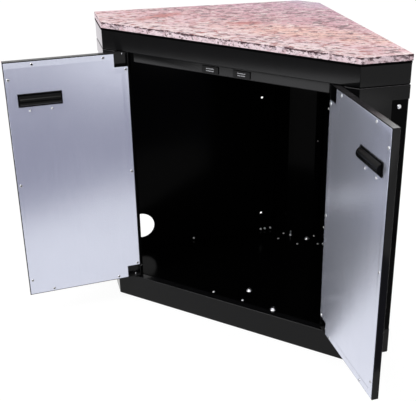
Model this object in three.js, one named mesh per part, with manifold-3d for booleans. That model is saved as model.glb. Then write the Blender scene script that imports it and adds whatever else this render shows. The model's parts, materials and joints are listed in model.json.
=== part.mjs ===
// Corner cabinet of an outdoor kitchen, with a granite top and two inset doors that stand open.
// Lengths are millimetres and +Z is up. The closed front is the plane Y = 0, the cabinet is behind it (+Y),
// X = 0 is the middle of the front and Z = 0 is the floor.
// Seen from above the cabinet has a front, two short flanks at 45 degrees, two back sides that stand at
// 90 degrees to each other, where the neighbouring modules join, and a cut-off rear corner.

import * as THREE from "three";
import { mergeVertices } from "three/addons/utils/BufferGeometryUtils.js";
import Module from "manifold-3d";

const wasm = await Module();
wasm.setup();

// Overall sizes.
const worktopHeight = 914;
const slabThickness = 18;
const slabOverhang = 1;
const slabArris = 1.5;
const frontWidth = 808;
const flankLength = 144;
const flankAngle = Math.PI / 4;
const rearEdgeLength = 79.3;
const rearSetBack = 14.5;
const plinthHeight = 82;
const topBandHeight = 61;

// Sheet metal.
const sheet = 1.5;
const coverSheet = 2;
const doorSheet = 1.2;
const linerSheet = 1;
const bend = 2.5;
const cornerRadius = 4;
const bendSteps = 3;

// Clearances. A piece that rests on or against another stays one seat away from it.
const seat = 0.3;
const overrun = 5;

// Top band and the rails behind it.
const topBandBottomFlange = 45;
const topRailBottomFlange = 25;
const topFlange = 12;
const frontWrap = 62;
const rearWrap = 50;
const bearerOffset = 200;
const bearerWidth = 30;
const bearerFrontGap = 3;

// Plinth, floor and feet.
const plinthTopFlange = 40;
const plinthSideFlange = 25;
const plinthHem = 15;
const floorGap = 2;
const floorFrontEdge = 24.5;
const baseBearerOffset = 230;
const baseBearerWidth = 50;
const baseBearerFlange = 25;
const footFrontDistance = 60;
const footWallDistance = 40.7;
const footRadius = 19;
const footPadHeight = 6;
const footNeckRadius = 9;
const footNeckHeight = 5;
const footStudRadius = 4.8;
const footStudTop = 77;
const footNutAcross = 17;
const footNutHeight = 8.5;

// Pilasters, side panels and back panel.
const pilasterFace = 44;
const jambDepth = 75;
const seamGap = 2.5;
const recessWidth = 50;
const recessBelowBand = 41;
const flangeLap = 10;
const sidePanelTopFlange = 20;
const wingLength = 58;
const wingReturn = 10;

// Holes in the side panels, by height and by distance from the flank or from the panel's rear end.
const utilityHoleRadius = 45;
const utilityHoleDistance = 105;
const utilityHoleHeight = 167;
const joinHoleRadius = 4;
const joinHoleFromRear = 98.8;
const joinHoleUpperHeight = 592;
const joinHoleLowerHeight = 157;

// Joining bolt through the front flange of a side panel.
const boltFromFlankEnd = 29;
const boltBelowRecess = 19;
const boltHeadRadius = 6.5;
const boltHeadHeight = 4.5;
const boltShankRadius = 3.9;
const boltShankLength = 22;
const boltHoleClearance = 0.3;

// Header rail and magnetic catches.
const headerSetBack = 24;
const headerHeight = 35;
const headerEndGap = 49;
const headerTopFlange = 20;
const headerBottomFlange = 18;
const catchOffset = 50;
const catchLength = 53;
const catchHeight = 20;
const catchAboveHeaderEdge = 4;
const catchDepth = 16;
const catchEar = 4;
const catchClearance = 0.3;
const poleLength = 25;
const poleThickness = 2.4;
const polePitch = 6.4;
const poleDepth = 8;
const poleProud = 0.1;

// Doors.
const doorTopGap = 2.1;
const doorBottomGap = 3.3;
const doorCentreGap = 4;
const doorHingeGap = 3.9;
const doorThickness = 20.5;
const pinInset = 6.5;
const pinFromEdge = 15.3;
const doorFlange = 14;
const doorEdgeBevel = 1.2;
const linerMargin = 2.5;
const linerNotchWidth = 39.6;
const linerNotchHeight = 39.5;
const fieldMargin = 18;
const fieldDepth = 1.2;
const fieldSlope = 2.4;
const leftDoorOpening = THREE.MathUtils.degToRad(131.1);
const rightDoorOpening = THREE.MathUtils.degToRad(135.95);

// Pull: a half-round finger pocket, by distance from the liner's free edge and from the top of the door.
// A bezel holds it on the outer face and a ring on the liner.
const pullFromFreeEdge = 33.1;
const pullBelowTop = 98.7;
const pullLength = 116.5;
const pullHeight = 30.9;
const pullBulge = 14;
const pullWall = 2;
const pullClearance = 1.5;
const pullBezelMargin = 6;
const pullBezelThickness = 1.4;
const pullRingMargin = 4;
const pullRingThickness = 1.4;
const pullArcSteps = 12;

// Pivot pins and bushes.
const pinRadius = 2.5;
const pinCollarRadius = 4.5;
const pinCollarHeight = 2.5;
const pinInsideDoor = 7.5;
const pinBeyondDoor = 11;
const bushBore = 2.8;
const bushRadius = 3.6;
const bushFlangeRadius = 6.5;
const bushHoleRadius = 3.9;
const bushDepth = 10;
const pocketSheet = 1.2;

// Curve quality.
const roundSides = 24;
const holeSides = 40;

// Heights and directions that follow from these.
const bodyTop = worktopHeight - slabThickness - seat;
const topBandBottom = worktopHeight - slabThickness - topBandHeight;
const panelBottom = plinthHeight + seat;
const panelTop = topBandBottom - seat;
const floorTop = panelBottom + sheet;
const flankDirection = new THREE.Vector2(Math.cos(flankAngle), Math.sin(flankAngle));
const sideDirection = new THREE.Vector2(-Math.sin(flankAngle), Math.cos(flankAngle));
const frontCorner = new THREE.Vector2(frontWidth / 2, 0);
const flankEnd = frontCorner.clone().addScaledVector(flankDirection, flankLength);
const topDepth = sideFaceAt(rearEdgeLength / 2);
const bodyDepth = topDepth - rearSetBack;
const recessStart = flankLength - recessWidth;
const recessTop = topBandBottom - recessBelowBand;
const boltFlankDistance = flankLength - boltFromFlankEnd;
const boltHeight = recessTop - boltBelowRecess;
const jambX = frontWidth / 2 - pilasterFace;
const headerHalfLength = jambX - headerEndGap;
const pinX = jambX - doorHingeGap - pinFromEdge;
const doorWidth = pinFromEdge + pinX - doorCentreGap / 2;
const doorBottom = plinthHeight + doorBottomGap;
const doorTop = topBandBottom - doorTopGap;

// Finishes.
const blackPaint = { color: 0x17171a, roughness: 0.28, metalness: 0 };
const galvanised = { color: 0xb4b4c0, roughness: 0.38, metalness: 0.85 };
const brightSteel = { color: 0xcfcfd2, roughness: 0.25, metalness: 0.95 };
const blackPlastic = { color: 0x141415, roughness: 0.42, metalness: 0 };
const granite = { color: 0xbf9a96, roughness: 0.18, metalness: 0 };

// Solids. A geometry becomes a closed solid once its shared vertices are merged.
function solid(geometry) {
  const bare = new THREE.BufferGeometry();
  bare.setAttribute("position", geometry.getAttribute("position").clone());
  if (geometry.index) {
    bare.setIndex(geometry.index.clone());
  }
  const merged = mergeVertices(bare, 1e-4);
  const corners = merged.index.array;
  const triangles = [];
  for (let i = 0; i < corners.length; i += 3) {
    const [a, b, c] = [corners[i], corners[i + 1], corners[i + 2]];
    if (a !== b && b !== c && c !== a) {
      triangles.push(a, b, c);
    }
  }
  return new wasm.Manifold(
    new wasm.Mesh({
      numProp: 3,
      vertProperties: new Float32Array(merged.attributes.position.array),
      triVerts: new Uint32Array(triangles),
    }),
  );
}

function geometryOf(body) {
  const mesh = body.getMesh();
  const geometry = new THREE.BufferGeometry();
  geometry.setAttribute("position", new THREE.BufferAttribute(new Float32Array(mesh.vertProperties), 3));
  geometry.setIndex(new THREE.BufferAttribute(new Uint32Array(mesh.triVerts), 1));
  const flat = geometry.toNonIndexed();
  flat.computeVertexNormals();
  return flat;
}

function piece(name, body, finish) {
  const mesh = new THREE.Mesh(geometryOf(body), new THREE.MeshStandardMaterial(finish));
  mesh.name = name;
  return mesh;
}

function block(x0, x1, y0, y1, z0, z1) {
  const box = new THREE.BoxGeometry(x1 - x0, y1 - y0, z1 - z0);
  return solid(box.translate((x0 + x1) / 2, (y0 + y1) / 2, (z0 + z1) / 2));
}

// An outline seen from above, given a height.
function prism(outline, z0, z1) {
  const shape = new THREE.Shape(outline);
  const geometry = new THREE.ExtrudeGeometry(shape, { depth: z1 - z0, bevelEnabled: false });
  return solid(geometry.translate(0, 0, z0));
}

// An outline seen from the front (X to the right, Z up), given a depth along Y.
function panel(outline, y0, y1) {
  const shape = new THREE.Shape(outline);
  const geometry = new THREE.ExtrudeGeometry(shape, { depth: y1 - y0, bevelEnabled: false });
  return solid(geometry.rotateX(Math.PI / 2).translate(0, y1, 0));
}

function rectangle(x0, x1, z0, z1) {
  return [
    new THREE.Vector2(x0, z0),
    new THREE.Vector2(x1, z0),
    new THREE.Vector2(x1, z1),
    new THREE.Vector2(x0, z1),
  ];
}

// A round bar or hole cutter along Z.
function bar(radius, z0, z1, x, y, sides = roundSides) {
  const cylinder = new THREE.CylinderGeometry(radius, radius, z1 - z0, sides).rotateX(Math.PI / 2);
  return solid(cylinder.translate(x, y, (z0 + z1) / 2));
}

// A turned part: the profile holds radius and height, from the axis round to the axis.
function turned(profile) {
  const points = profile.map(([radius, height]) => new THREE.Vector2(radius, height));
  return new THREE.LatheGeometry(points, roundSides).rotateX(Math.PI / 2);
}

// Plans. Every plan path runs with the cabinet's inside on its left.
function mirrorPoint(point) {
  return new THREE.Vector2(-point.x, point.y);
}

function mirrorPath(path) {
  return path.map(mirrorPoint).reverse();
}

function leftNormal(from, to) {
  const along = to.clone().sub(from).normalize();
  return new THREE.Vector2(-along.y, along.x);
}

// How far each point of a path moves for an inset of one, so that the legs stay parallel.
function mitres(path) {
  return path.map((point, i) => {
    const before = i > 0 ? leftNormal(path[i - 1], point) : leftNormal(point, path[i + 1]);
    const after = i < path.length - 1 ? leftNormal(point, path[i + 1]) : before;
    return before.clone().add(after).divideScalar(1 + before.dot(after));
  });
}

function insetPath(path, distance) {
  const steps = mitres(path);
  return path.map((point, i) => point.clone().addScaledVector(steps[i], distance));
}

function insetLoop(loop, distance) {
  const wrapped = [loop[loop.length - 1], ...loop, loop[0]];
  return insetPath(wrapped, distance).slice(1, -1);
}

// The path with each inner corner turned into an arc.
function roundedPath(path, radius) {
  const points = [path[0]];
  for (let i = 1; i < path.length - 1; i++) {
    const into = path[i].clone().sub(path[i - 1]).normalize();
    const out = path[i + 1].clone().sub(path[i]).normalize();
    const turn = Math.acos(THREE.MathUtils.clamp(into.dot(out), -1, 1));
    const tangent = radius * Math.tan(turn / 2);
    const start = path[i].clone().addScaledVector(into, -tangent);
    const centre = start.clone().addScaledVector(new THREE.Vector2(-into.y, into.x), radius);
    for (let k = 0; k <= bendSteps; k++) {
      points.push(start.clone().rotateAround(centre, (turn * k) / bendSteps));
    }
  }
  points.push(path[path.length - 1]);
  return points;
}

// A section (inset, height), counter-clockwise, carried along a plan path with mitred corners.
function swept(path, section) {
  const steps = mitres(path);
  const positions = [];
  path.forEach((point, i) => {
    section.forEach((corner) => {
      const place = point.clone().addScaledVector(steps[i], corner.x);
      positions.push(place.x, place.y, corner.y);
    });
  });
  const count = section.length;
  const last = (path.length - 1) * count;
  const index = [];
  for (let i = 0; i < path.length - 1; i++) {
    for (let j = 0; j < count; j++) {
      const a = i * count + j;
      const b = i * count + ((j + 1) % count);
      index.push(a, b, b + count, a, b + count, a + count);
    }
  }
  THREE.ShapeUtils.triangulateShape(section, []).forEach(([a, b, c]) => {
    index.push(c, b, a);
    index.push(last + a, last + b, last + c);
  });
  const geometry = new THREE.BufferGeometry();
  geometry.setAttribute("position", new THREE.Float32BufferAttribute(positions, 3));
  geometry.setIndex(index);
  return solid(geometry);
}

function quarterArc(centreX, centreY, radius, from) {
  const points = [];
  for (let k = 0; k <= bendSteps; k++) {
    const angle = from + ((Math.PI / 2) * k) / bendSteps;
    points.push(new THREE.Vector2(centreX + radius * Math.cos(angle), centreY + radius * Math.sin(angle)));
  }
  return points;
}

// The upright leg of a folded band, with the start of its flanges where it has them.
function webSection(z0, z1, thickness, hasBottom, hasTop) {
  const inner = bend - thickness;
  const outerTop = hasTop ? quarterArc(bend, z1 - bend, bend, Math.PI / 2) : [new THREE.Vector2(0, z1)];
  const outerBottom = hasBottom ? quarterArc(bend, z0 + bend, bend, Math.PI) : [new THREE.Vector2(0, z0)];
  const innerBottom = hasBottom
    ? quarterArc(bend, z0 + bend, inner, Math.PI).reverse()
    : [new THREE.Vector2(thickness, z0)];
  const innerTop = hasTop
    ? quarterArc(bend, z1 - bend, inner, Math.PI / 2).reverse()
    : [new THREE.Vector2(thickness, z1)];
  return [...outerTop, ...outerBottom, ...innerBottom, ...innerTop];
}

// A folded band: a web along the path, with flanges turned to the inside at its bottom and top.
function foldedBand(path, z0, z1, thickness, bottomFlange, topFlangeWidth) {
  const web = webSection(z0, z1, thickness, bottomFlange > 0, topFlangeWidth > 0);
  let band = swept(roundedPath(path, cornerRadius), web);
  const root = insetPath(path, bend - thickness / 2);
  if (bottomFlange > 0) {
    const lip = [...root, ...insetPath(path, bottomFlange).reverse()];
    band = band.add(prism(lip, z0, z0 + thickness));
  }
  if (topFlangeWidth > 0) {
    const lip = [...root, ...insetPath(path, topFlangeWidth).reverse()];
    band = band.add(prism(lip, z1 - thickness, z1));
  }
  return band;
}

// Points on the right flank and the right back side, by distance along it and inset from its face.
function onFlank(distance, inset = 0) {
  const point = frontCorner.clone().addScaledVector(flankDirection, distance);
  return point.addScaledVector(sideDirection, inset);
}

function onSide(distance, inset = 0) {
  const point = flankEnd.clone().addScaledVector(sideDirection, distance);
  return point.addScaledVector(flankDirection, -inset);
}

// The distance along the back side at which it reaches a given Y, when it is inset.
function sideDistance(y, inset = 0) {
  return (y - flankEnd.y + flankDirection.y * inset) / sideDirection.y;
}

function sideCorner(y, inset = 0) {
  return onSide(sideDistance(y, inset), inset);
}

// The depth at which the right back side's face stands over a given X.
function sideFaceAt(x) {
  return flankEnd.y + (flankEnd.x - x) * (sideDirection.y / flankDirection.y);
}

// A cutter through a side panel or flank, along the flank's or the side's direction.
function crossBar(radius, length, direction, point, height, sides) {
  const cylinder = new THREE.CylinderGeometry(radius, radius, length, sides);
  cylinder.rotateZ(Math.atan2(direction.y, direction.x) - Math.PI / 2);
  return solid(cylinder.translate(point.x, point.y, height));
}

// Granite slab.
function makeSlab() {
  const clip = sideCorner(topDepth);
  const rightHalf = [frontCorner, flankEnd, clip];
  const shape = new THREE.Shape(insetLoop([...rightHalf, ...mirrorPath(rightHalf)], -slabOverhang));
  const geometry = new THREE.ExtrudeGeometry(shape, {
    depth: slabThickness - 2 * slabArris,
    bevelThickness: slabArris,
    bevelSize: slabArris,
    bevelOffset: -slabArris,
    bevelSegments: 2,
  });
  return solid(geometry.translate(0, 0, worktopHeight - slabThickness + slabArris));
}

// The front band's path: round the front and both flanks, and a short way along each back side.
function frontBandPath() {
  const rightHalf = [frontCorner, flankEnd, onSide(frontWrap)];
  return [...mirrorPath(rightHalf), ...rightHalf];
}

function rearBandPath(y) {
  const clip = sideCorner(y);
  const rightHalf = [onSide(sideDistance(y) - rearWrap), clip];
  return [...rightHalf, ...mirrorPath(rightHalf)];
}

function sideBandPath(y) {
  return [onSide(frontWrap + seat), onSide(sideDistance(y) - rearWrap - seat)];
}

// Top band: the fascia with its flanks, two side rails and the rear rail.
function makeFascia() {
  let fascia = foldedBand(frontBandPath(), topBandBottom, bodyTop, sheet, topBandBottomFlange, topFlange);
  [-pinX, pinX].forEach((x) => {
    const hole = bar(bushHoleRadius, topBandBottom - overrun, topBandBottom + overrun, x, pinInset);
    fascia = fascia.subtract(hole);
  });
  return fascia;
}

function makeSideRail(side) {
  const path = sideBandPath(topDepth - slabOverhang);
  const placed = side < 0 ? mirrorPath(path) : path;
  return foldedBand(placed, topBandBottom, bodyTop, sheet, topRailBottomFlange, topFlange);
}

function makeRearRail() {
  const path = rearBandPath(topDepth - slabOverhang);
  return foldedBand(path, topBandBottom, bodyTop, sheet, topRailBottomFlange, topFlange);
}

// A channel that stands on the lower flanges of the top band and carries the slab.
function makeWorktopBearer(side) {
  const outerX = bearerOffset;
  const frontEnd = topFlange + bearerFrontGap;
  const rearFlange = (topFlange + bearerFrontGap) / flankDirection.y;
  const rearEnd = sideFaceAt(outerX) - rearFlange;
  const path = [new THREE.Vector2(outerX, frontEnd), new THREE.Vector2(outerX, rearEnd)];
  const placed = side < 0 ? mirrorPath(path) : path;
  const bottom = topBandBottom + sheet + seat;
  return foldedBand(placed, bottom, bodyTop, sheet, bearerWidth, bearerWidth);
}

// Header rail with a window for each catch.
function catchHeightAt() {
  return topBandBottom - headerHeight + catchAboveHeaderEdge;
}

function makeHeader() {
  const path = [
    new THREE.Vector2(-headerHalfLength, headerSetBack),
    new THREE.Vector2(headerHalfLength, headerSetBack),
  ];
  const bottom = topBandBottom - headerHeight;
  let header = foldedBand(path, bottom, panelTop, sheet, headerBottomFlange, headerTopFlange);
  const low = catchHeightAt() - catchClearance;
  const high = catchHeightAt() + catchHeight + catchClearance;
  const half = catchLength / 2 + catchClearance;
  [-catchOffset, catchOffset].forEach((x) => {
    const window = block(x - half, x + half, headerSetBack - overrun, headerSetBack + overrun, low, high);
    header = header.subtract(window);
  });
  return header;
}

// A magnetic catch: its nose looks out of the header's window and its ears seat behind the web.
function poleHeights() {
  const middle = catchHeightAt() + catchHeight / 2;
  return { lower: middle - polePitch / 2, upper: middle + polePitch / 2 };
}

function makeCatch(x) {
  const front = doorThickness + seat;
  const earFront = headerSetBack + sheet + seat;
  const half = catchLength / 2;
  const low = catchHeightAt();
  const high = low + catchHeight;
  const nose = block(x - half, x + half, front, earFront + catchEar, low, high);
  const earHalf = half + catchEar;
  const earLow = low + catchEar / 2;
  const earHigh = high + catchEar / 2;
  const back = block(x - earHalf, x + earHalf, earFront, front + catchDepth, earLow, earHigh);
  let body = nose.add(back);
  Object.values(poleHeights()).forEach((z) => {
    const rise = poleThickness / 2 + catchClearance;
    const reach = poleLength / 2 + catchClearance;
    const slotEnd = front + poleDepth + catchClearance;
    body = body.subtract(block(x - reach, x + reach, front - overrun, slotEnd, z - rise, z + rise));
  });
  return body;
}

function makePole(x, z) {
  const front = doorThickness + seat - poleProud;
  const half = poleThickness / 2;
  return block(x - poleLength / 2, x + poleLength / 2, front, front + poleDepth, z - half, z + half);
}

// Pilaster: jamb, front face and flank, with the rear of the flank cut away below recessTop.
function makePilaster(side) {
  const path = [new THREE.Vector2(jambX, jambDepth), new THREE.Vector2(jambX, 0), frontCorner, flankEnd];
  const placed = side < 0 ? mirrorPath(path) : path;
  const cover = foldedBand(placed, panelBottom, topBandBottom - seamGap, coverSheet, 0, 0);
  const cut = [
    onFlank(recessStart, -overrun),
    onFlank(flankLength + overrun, -overrun),
    onFlank(flankLength + overrun, overrun),
    onFlank(recessStart, overrun),
  ];
  const notch = side < 0 ? mirrorPath(cut) : cut;
  return cover.subtract(prism(notch, panelBottom - overrun, recessTop));
}

// Side panel: a front flange behind the pilaster's flank, then the back side with its holes.
function makeSidePanel(side) {
  const behindCover = coverSheet + seat;
  const path = [
    onFlank(recessStart - flangeLap, behindCover),
    onSide(behindCover),
    onSide(sideDistance(bodyDepth) - seat),
  ];
  const placed = side < 0 ? mirrorPath(path) : path;
  let wall = foldedBand(placed, panelBottom, panelTop, sheet, 0, sidePanelTopFlange);
  const place = (point) => (side < 0 ? mirrorPoint(point) : point);
  const across = place(flankDirection);
  [joinHoleLowerHeight, joinHoleUpperHeight].forEach((height) => {
    const centre = place(onSide(sideDistance(bodyDepth) - joinHoleFromRear));
    wall = wall.subtract(crossBar(joinHoleRadius, 2 * overrun, across, centre, height, roundSides));
  });
  const boltCentre = place(onFlank(boltFlankDistance, behindCover));
  const boltHole = boltShankRadius + boltHoleClearance;
  const boltAxis = place(sideDirection);
  wall = wall.subtract(crossBar(boltHole, 2 * overrun, boltAxis, boltCentre, boltHeight, roundSides));
  if (side < 0) {
    const centre = place(onSide(utilityHoleDistance));
    const cutter = crossBar(utilityHoleRadius, 2 * overrun, across, centre, utilityHoleHeight, holeSides);
    wall = wall.subtract(cutter);
  }
  return wall;
}

// A dome-headed bolt that lies on the side panel's front flange and points into the cabinet.
function makeJoiningBolt(side) {
  const faceInset = coverSheet;
  const rim = boltHeadHeight / 3;
  const profile = [
    [0, -boltShankLength],
    [boltShankRadius, -boltShankLength],
    [boltShankRadius, 0],
    [boltHeadRadius, 0],
    [boltHeadRadius, rim],
  ];
  for (let k = 1; k < bendSteps + 1; k++) {
    const angle = ((Math.PI / 2) * k) / (bendSteps + 1);
    profile.push([boltHeadRadius * Math.cos(angle), rim + (boltHeadHeight - rim) * Math.sin(angle)]);
  }
  profile.push([0, boltHeadHeight]);
  const geometry = turned(profile);
  const outward = side < 0 ? mirrorPoint(sideDirection).negate() : sideDirection.clone().negate();
  geometry.rotateY(Math.PI / 2).rotateZ(Math.atan2(outward.y, outward.x));
  const centre = onFlank(boltFlankDistance, faceInset);
  const placed = side < 0 ? mirrorPoint(centre) : centre;
  return solid(geometry.translate(placed.x, placed.y, boltHeight));
}

// Back panel: across the cut-off corner, with wings inside the side panels and returned edges.
function makeBackPanel() {
  const inset = sheet + seat;
  const corner = sideCorner(bodyDepth, inset);
  const wingStart = onSide(sideDistance(bodyDepth, inset) - wingLength, inset);
  const wingTip = wingStart.clone().addScaledVector(flankDirection, -wingReturn);
  const rightHalf = [wingTip, wingStart, corner];
  const path = [...rightHalf, ...mirrorPath(rightHalf)];
  return foldedBand(path, floorTop + seat, panelTop - bend - seat, sheet, 0, 0);
}

// Plinth: the front band, two side plinths and the rear plinth.
function makeFrontPlinth() {
  let band = foldedBand(frontBandPath(), 0, plinthHeight, sheet, plinthHem, plinthTopFlange);
  [-pinX, pinX].forEach((x) => {
    band = band.subtract(bar(bushHoleRadius, plinthHeight - overrun, plinthHeight + overrun, x, pinInset));
  });
  return band;
}

function makeSidePlinth(side) {
  const path = sideBandPath(bodyDepth);
  const placed = side < 0 ? mirrorPath(path) : path;
  return foldedBand(placed, 0, plinthHeight, sheet, plinthHem, plinthSideFlange);
}

function makeRearPlinth() {
  return foldedBand(rearBandPath(bodyDepth), 0, plinthHeight, sheet, plinthHem, plinthSideFlange);
}

// Floor pan: a flat sheet on the plinth's top flanges, clear of the jambs and the closed doors.
function makeFloorPan() {
  const edgeInset = sheet + seat;
  const flankInset = coverSheet + seat + sheet + floorGap;
  const postBack = jambDepth + floorGap;
  const flankMeetsPost = (postBack - flankDirection.x * flankInset) / flankDirection.y;
  const innerX = jambX - floorGap;
  const rightHalf = [
    new THREE.Vector2(innerX, floorFrontEdge),
    new THREE.Vector2(innerX, postBack),
    onFlank(flankMeetsPost, flankInset),
    onSide(flankInset, edgeInset),
    sideCorner(bodyDepth - seat, edgeInset),
  ];
  return prism([...rightHalf, ...mirrorPath(rightHalf)], panelBottom, floorTop);
}

// Base bearer: a channel under the plinth's top flanges that carries two feet.
function makeBaseBearer(side) {
  const innerX = baseBearerOffset - baseBearerWidth / 2;
  const outerX = baseBearerOffset + baseBearerWidth / 2;
  const top = plinthHeight - sheet - seat;
  const frontEnd = bend + seat;
  const wallGap = (bend + seat) / flankDirection.y;
  const reach = (x) => sideFaceAt(x) - wallGap;
  const outline = [
    new THREE.Vector2(side * innerX, frontEnd),
    new THREE.Vector2(side * outerX, frontEnd),
    new THREE.Vector2(side * outerX, reach(outerX)),
    new THREE.Vector2(side * innerX, reach(innerX)),
  ];
  const full = prism(outline, top - baseBearerFlange, top);
  const hollow = baseBearerWidth / 2 - sheet;
  const middle = side * baseBearerOffset;
  const far = topDepth + overrun;
  const low = top - baseBearerFlange - overrun;
  let bearer = full.subtract(block(middle - hollow, middle + hollow, -overrun, far, low, top - sheet));
  [footFrontDistance, footRearDistance()].forEach((y) => {
    bearer = bearer.subtract(bar(footStudRadius + seat, low, top + overrun, middle, y));
  });
  return bearer;
}

function footRearDistance() {
  return sideFaceAt(baseBearerOffset) - footWallDistance / flankDirection.y;
}

// A levelling foot: pad, neck and stud, and the weld nut that it turns in.
function makeFoot(x, y) {
  const padEdge = footPadHeight / 3;
  const geometry = turned([
    [0, 0],
    [footRadius - padEdge / 2, 0],
    [footRadius, padEdge],
    [footRadius, footPadHeight - padEdge],
    [footRadius - padEdge, footPadHeight],
    [footNeckRadius, footPadHeight],
    [footNeckRadius, footPadHeight + footNeckHeight],
    [footStudRadius, footPadHeight + footNeckHeight],
    [footStudRadius, footStudTop],
    [0, footStudTop],
  ]);
  return solid(geometry.translate(x, y, 0));
}

function makeFootNut(x, y) {
  const top = plinthHeight - sheet - seat - sheet - seat;
  const hexagonRadius = footNutAcross / Math.sqrt(3);
  const nut = bar(hexagonRadius, top - footNutHeight, top, x, y, 6);
  return nut.subtract(bar(footStudRadius + seat, top - footNutHeight - overrun, top + overrun, x, y));
}

// A pivot bush: its flange keeps the door off the frame and its barrel sits in the flange hole.
function barBetween(radius, za, zb, x, y) {
  return bar(radius, Math.min(za, zb), Math.max(za, zb), x, y);
}

function makeBush(side, upper) {
  const x = side * pinX;
  const doorEdge = upper ? doorTop + seat : doorBottom - seat;
  const frameFace = upper ? topBandBottom - seat : plinthHeight + seat;
  const end = upper ? topBandBottom + bushDepth : plinthHeight - bushDepth;
  const disc = barBetween(bushFlangeRadius, doorEdge, frameFace, x, pinInset);
  const barrel = barBetween(bushRadius, (doorEdge + frameFace) / 2, end, x, pinInset);
  const low = Math.min(doorEdge, end) - overrun;
  const high = Math.max(doorEdge, end) + overrun;
  return disc.add(barrel).subtract(bar(bushBore, low, high, x, pinInset));
}

// Doors, drawn closed with the pivot axis as the origin. X runs from the hinge edge to the free edge on
// the left door and is mirrored on the right one, and Y is 0 at the pin.
const doorFront = -pinInset;
const linerBack = doorThickness - pinInset;
const linerFront = linerBack - linerSheet;
const skinBack = linerFront - seat;
const hingeEdge = -pinFromEdge;
const freeEdge = doorWidth - pinFromEdge;
const linerHingeEdge = hingeEdge + linerMargin;
const linerTop = doorTop - linerMargin;
const linerBottom = doorBottom + linerMargin;
const notchX = linerHingeEdge + linerNotchWidth;
const pullX1 = freeEdge - linerMargin - pullFromFreeEdge;
const pullX0 = pullX1 - pullLength;
const pullTop = doorTop - pullBelowTop;
const pullBottom = pullTop - pullHeight;

function sidedBlock(side, x0, x1, y0, y1, z0, z1) {
  return block(Math.min(side * x0, side * x1), Math.max(side * x0, side * x1), y0, y1, z0, z1);
}

function sidedOutline(side, outline) {
  return outline.map((point) => new THREE.Vector2(-side * point.x, point.y));
}

function linerOutline(margin) {
  const x0 = linerHingeEdge + margin;
  const x1 = freeEdge - linerMargin - margin;
  const z0 = linerBottom + margin;
  const z1 = linerTop - margin;
  const step = notchX + margin;
  const low = linerBottom + linerNotchHeight + margin;
  const high = linerTop - linerNotchHeight - margin;
  return [
    new THREE.Vector2(step, z0),
    new THREE.Vector2(x1, z0),
    new THREE.Vector2(x1, z1),
    new THREE.Vector2(step, z1),
    new THREE.Vector2(step, high),
    new THREE.Vector2(x0, high),
    new THREE.Vector2(x0, low),
    new THREE.Vector2(step, low),
  ];
}

// The window for the pull pocket, through one sheet of the door.
function pullWindow(side, y0, y1) {
  const gap = pullClearance;
  return sidedBlock(-side, pullX0 - gap, pullX1 + gap, y0, y1, pullBottom - gap, pullTop + gap);
}

// Outer skin: a tray with its edges turned in, open behind the liner.
function makeDoorSkin(side) {
  const outline = rectangle(hingeEdge, freeEdge, doorBottom, doorTop);
  const shape = new THREE.Shape(sidedOutline(side, outline));
  const geometry = new THREE.ExtrudeGeometry(shape, {
    depth: doorThickness,
    bevelThickness: doorEdgeBevel,
    bevelSize: doorEdgeBevel,
    bevelOffset: -doorEdgeBevel,
    bevelSegments: 2,
  });
  geometry.rotateX(Math.PI / 2).translate(0, doorFront + doorEdgeBevel + doorThickness, 0);
  const wide = doorWidth + overrun;
  const beyond = doorThickness + overrun;
  const low = doorBottom + doorSheet;
  const high = doorTop - doorSheet;
  const x0 = hingeEdge + doorSheet;
  const x1 = freeEdge - doorSheet;
  let skin = solid(geometry);
  skin = skin.subtract(block(-wide, wide, skinBack, beyond, doorBottom - overrun, doorTop + overrun));
  skin = skin.subtract(sidedBlock(-side, x0, x1, doorFront + doorSheet, skinBack - doorSheet, low, high));
  const open = [
    hingeEdge + doorFlange,
    freeEdge - doorFlange,
    skinBack - overrun,
    beyond,
    doorBottom + doorFlange,
    doorTop - doorFlange,
  ];
  skin = skin.subtract(sidedBlock(-side, ...open));
  const notchBottom = linerBottom + linerNotchHeight;
  const notchTop = linerTop - linerNotchHeight;
  skin = skin.subtract(sidedBlock(-side, x0, notchX, skinBack - overrun, beyond, low, notchBottom));
  skin = skin.subtract(sidedBlock(-side, x0, notchX, skinBack - overrun, beyond, notchTop, high));
  skin = skin.subtract(pullWindow(side, doorFront - overrun, doorFront + overrun));
  const pinHole = pinRadius + seat;
  return skin.subtract(bar(pinHole, doorBottom - overrun, doorTop + overrun, 0, 0));
}

// A plug whose outline widens over the slope from its floor, to press the liner's field.
function fieldPlug(side, floorY) {
  const shape = new THREE.Shape(sidedOutline(side, linerOutline(fieldMargin + fieldSlope)));
  const geometry = new THREE.ExtrudeGeometry(shape, {
    depth: linerSheet / 2,
    bevelThickness: fieldDepth,
    bevelSize: fieldSlope,
    bevelSegments: 1,
  });
  return geometry.rotateX(Math.PI / 2).translate(0, floorY + fieldDepth + linerSheet / 2, 0);
}

// Liner: a flat sheet with notched hinge corners and a pressed field.
function makeDoorLiner(side) {
  const sheetBody = panel(sidedOutline(side, linerOutline(0)), linerFront, linerBack);
  const pressed = solid(fieldPlug(side, linerFront - fieldDepth));
  const hollow = solid(fieldPlug(side, linerBack - fieldDepth));
  const clearAbove = panel(sidedOutline(side, linerOutline(0)), linerBack, linerBack + overrun);
  const liner = sheetBody.add(pressed).subtract(hollow).subtract(clearAbove);
  return liner.subtract(pullWindow(side, linerFront - overrun, linerBack + overrun));
}

// Half-round section of the pull, seen along the door: straight through the door, round beyond it.
function pullSection(margin, back) {
  const half = pullHeight / 2 - margin;
  const middle = (pullTop + pullBottom) / 2;
  const bulge = pullBulge - margin;
  const points = [new THREE.Vector2(back, middle - half)];
  for (let k = 0; k <= pullArcSteps; k++) {
    const angle = -Math.PI / 2 + (Math.PI * k) / pullArcSteps;
    points.push(new THREE.Vector2(linerBack + bulge * Math.cos(angle), middle + half * Math.sin(angle)));
  }
  points.push(new THREE.Vector2(back, middle + half));
  return points;
}

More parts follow.
